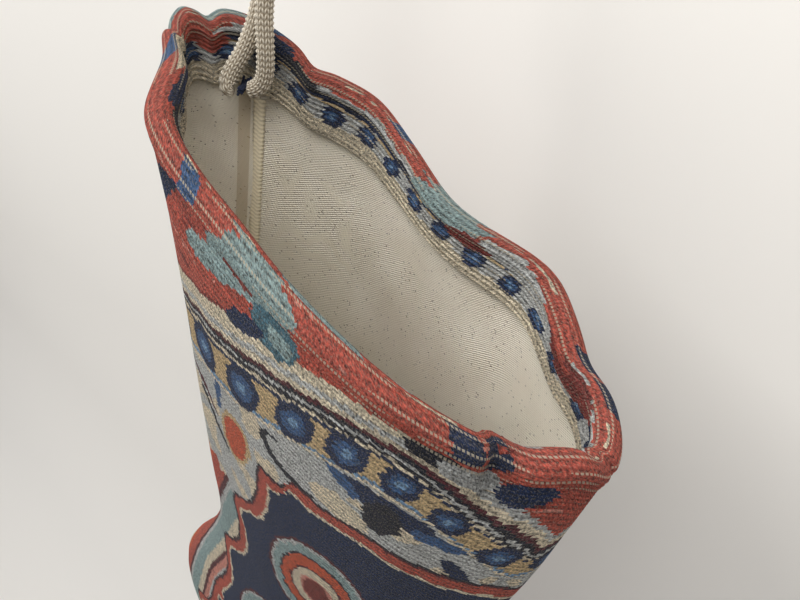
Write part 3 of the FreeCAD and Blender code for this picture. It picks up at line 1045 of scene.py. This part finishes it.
def bumpOn(tree, surface, height, distance):
    bump = tree.nodes.new("ShaderNodeBump")
    bump.inputs["Strength"].default_value = 1.0
    bump.inputs["Distance"].default_value = distance
    tree.links.new(height, bump.inputs["Height"])
    tree.links.new(bump.outputs[0], surface.inputs["Normal"])


def clothSpot(tree, scale, shift=(0, 0, 0)):
    cloth = tree.nodes.new("ShaderNodeUVMap")
    cloth.uv_map = "cloth"
    return vector2(tree, "MULTIPLY_ADD", cloth.outputs[0], (scale,) * 3, shift)


def chenille(name, shift):
    material, tree, surface = newMaterial(name, 0.95, 0.06)
    spot = clothSpot(tree, 1000)
    tuft = useGroup(tree, tufts, spot, 1.9, 1.25)
    moved = vector2(tree, "ADD", tuft.outputs["Snapped"], shift)
    outside = useGroup(tree, carpetPrint, moved).outputs[0]
    turned = useGroup(tree, hemPrint, tuft.outputs["Snapped"]).outputs[0]
    u, v, _ = split2(tree, spot)
    colour = blend2(tree, sum2(tree, "LESS_THAN", v, -1.0), outside, turned)
    colour = blend2(tree, 1.0, colour, join2(tree, *[tuft.outputs["Shade"]] * 3), "MULTIPLY")
    # A light thread runs along some ribs near the rim, showing as dots.
    ribLine = sum2(tree, "MODULO", sum2(tree, "ADD", v, 38.5), 3.8)
    dots = sum2(tree, "FRACT", sum2(tree, "DIVIDE", u, 1.15))
    stretched = vector2(tree, "MULTIPLY", spot, (0.035, 0.26, 1))
    patchy, _ = speckle(tree, stretched, 1.0, 1.0)
    thread = sum2(tree, "MULTIPLY", sum2(tree, "LESS_THAN", ribLine, 0.62),
                  sum2(tree, "LESS_THAN", dots, 0.62))
    thread = sum2(tree, "MULTIPLY", thread, sum2(tree, "GREATER_THAN", patchy, 0.46))
    thread = sum2(tree, "MULTIPLY", thread, sum2(tree, "LESS_THAN", v, 13.0))
    colour = blend2(tree, sum2(tree, "MULTIPLY", thread, 0.8), colour, dye("cream"))
    bright, _ = speckle(tree, spot, 2.1, 2.0, 0.6)
    fleck = sum2(tree, "MULTIPLY", sum2(tree, "GREATER_THAN", bright, 0.57), 0.20)
    colour = blend2(tree, fleck, colour, dye("cream"))
    tree.links.new(colour, surface.inputs["Base Color"])
    bumpOn(tree, surface, tuft.outputs["Height"], 0.0014)
    return material


def twill(name, allowance):
    material, tree, surface = newMaterial(name, 0.95, 0.1)
    spot = clothSpot(tree, 1000)
    u, v, _ = split2(tree, spot)
    leaning = sum2(tree, "MULTIPLY_ADD", u, 0.75, v)
    diagonal = sum2(tree, "SINE", sum2(tree, "MULTIPLY", leaning, 6.6))
    across = sum2(tree, "SINE", sum2(tree, "MULTIPLY", sum2(tree, "SUBTRACT", u, v), 4.1))
    slub, _ = speckle(tree, vector2(tree, "MULTIPLY", spot, (0.5, 2.2, 1)), 1.0, 3.0)
    height = sum2(tree, "MULTIPLY_ADD", across, 0.3, diagonal)
    height = sum2(tree, "MULTIPLY_ADD", slub, 1.6, height)
    cloudy, _ = speckle(tree, spot, 0.05, 3.0)
    colour = stripes(tree, cloudy, 0, 1, [(0.3, linear((222, 212, 192))),
                                          (0.7, linear((234, 226, 208)))], True)
    # The weave's relief also goes into the colour, darker in its troughs: painted shade, with some
    # random tone from the slubs.
    shade = sum2(tree, "MULTIPLY_ADD", height, 0.05, 0.93)
    colour = blend2(tree, 1.0, colour, join2(tree, shade, shade, shade), "MULTIPLY")
    for scale, edge, tone in ((0.62, 0.34, (84, 72, 56)), (0.33, 0.24, (110, 94, 68))):
        seeds = tree.nodes.new("ShaderNodeTexVoronoi")
        seeds.inputs["Scale"].default_value = scale
        tree.links.new(vector2(tree, "MULTIPLY", spot, (1, 1.5, 1)), seeds.inputs["Vector"])
        chance, _ = speckle(tree, seeds.outputs["Position"], 31.0, 0.0)
        speck = sum2(tree, "LESS_THAN", seeds.outputs["Distance"], edge * 0.55)
        fleck = sum2(tree, "MULTIPLY", speck, sum2(tree, "GREATER_THAN", chance, 0.56))
        colour = blend2(tree, sum2(tree, "MULTIPLY", fleck, 0.75), colour, linear(tone))
    # The seam allowance shows through beside the heel seam as a warmer, darker band.
    away = tree.nodes.new("ShaderNodeAttribute")
    away.attribute_name = "toHeelSeam"
    away = away.outputs["Fac"]
    band = sum2(tree, "MULTIPLY", sum2(tree, "GREATER_THAN", away, 3.2),
                sum2(tree, "LESS_THAN", away, allowance))
    colour = blend2(tree, sum2(tree, "MULTIPLY", band, 0.55), colour, linear((176, 152, 112)))
    tree.links.new(colour, surface.inputs["Base Color"])
    bumpOn(tree, surface, height, 0.00016)
    return material


# Thread colour runs from low to high by the stitch relief stored on the piece: painted shade
# between the stitches and painted light on their tops, with uneven fibre tone mixed in. The tack
# thread has no stored relief, so its colour is fibre tone only.
def thread(name, low, high):
    material, tree, surface = newMaterial(name, 0.85, 0.1)
    reliefShade = tree.nodes.new("ShaderNodeAttribute")
    reliefShade.attribute_name = "stitch"
    place = tree.nodes.new("ShaderNodeTexCoord").outputs["Object"]
    fibre, _ = speckle(tree, place, 2600, 3.0, 0.7)
    uneven = sum2(tree, "SUBTRACT", fibre, 0.5)
    shade = sum2(tree, "MULTIPLY_ADD", uneven, 0.5, reliefShade.outputs["Fac"])
    colour = stripes(tree, shade, 0, 1, [(0.0, linear(low)), (0.75, linear(high))], True)
    tree.links.new(colour, surface.inputs["Base Color"])
    bumpOn(tree, surface, fibre, 0.0002)
    return material


outerFront.data.materials.append(chenille("chenilleFront", (0, 0, 0)))
outerBack.data.materials.append(chenille("chenilleBack", (-18, 0, 0)))
for piece, allowance in ((liningFront, 7.5), (liningBack, 0.0)):
    piece.data.materials.append(twill(piece.name + "Twill", allowance))
# For the cord and the seam strips, the darker colour is painted shade between the stitches and the
# lighter one their lit tops.
hangLoop.data.materials.append(thread("knitCotton", (120, 106, 86), (222, 212, 193)))
for piece in (heelSeam, toeSeam):
    piece.data.materials.append(thread(piece.name + "Thread", (150, 134, 104), (224, 212, 184)))
tackPiece.data.materials.append(thread("navyThread", (26, 34, 56), (52, 66, 98)))

# The backdrop shows only from its front, so views from behind see past it.
paint, tree, surface = newMaterial("backdropPaint")
surface.inputs["Base Color"].default_value = linear((228, 224, 217))
clear = tree.nodes.new("ShaderNodeBsdfTransparent")
either = tree.nodes.new("ShaderNodeMixShader")
behind = tree.nodes.new("ShaderNodeNewGeometry").outputs["Backfacing"]
tree.links.new(behind, either.inputs[0])
tree.links.new(surface.outputs[0], either.inputs[1])
tree.links.new(clear.outputs[0], either.inputs[2])
tree.links.new(either.outputs[0], tree.nodes["Material Output"].inputs["Surface"])
backdrop.data.materials.append(paint)
print("materials made")

# What each piece stands for, rides on and is made of.
stands = [
    (outerFront, "outer_front", "stocking", "chenille"),
    (outerBack, "outer_back", "stocking", "chenille"),
    (liningFront, "lining_front", "stocking", "twill"),
    (liningBack, "lining_back", "stocking", "twill"),
    (heelSeam, "overlock_heel_seam", "stocking", "seam_thread"),
    (toeSeam, "overlock_toe_seam", "stocking", "seam_thread"),
    (hangLoop, "hanging_loop", "loop", "cord"),
    (tackPiece, "loop_tack", "tack", "tack_thread"),
]
for piece, node, body, finish in stands:
    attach(piece, body)
    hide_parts(node)
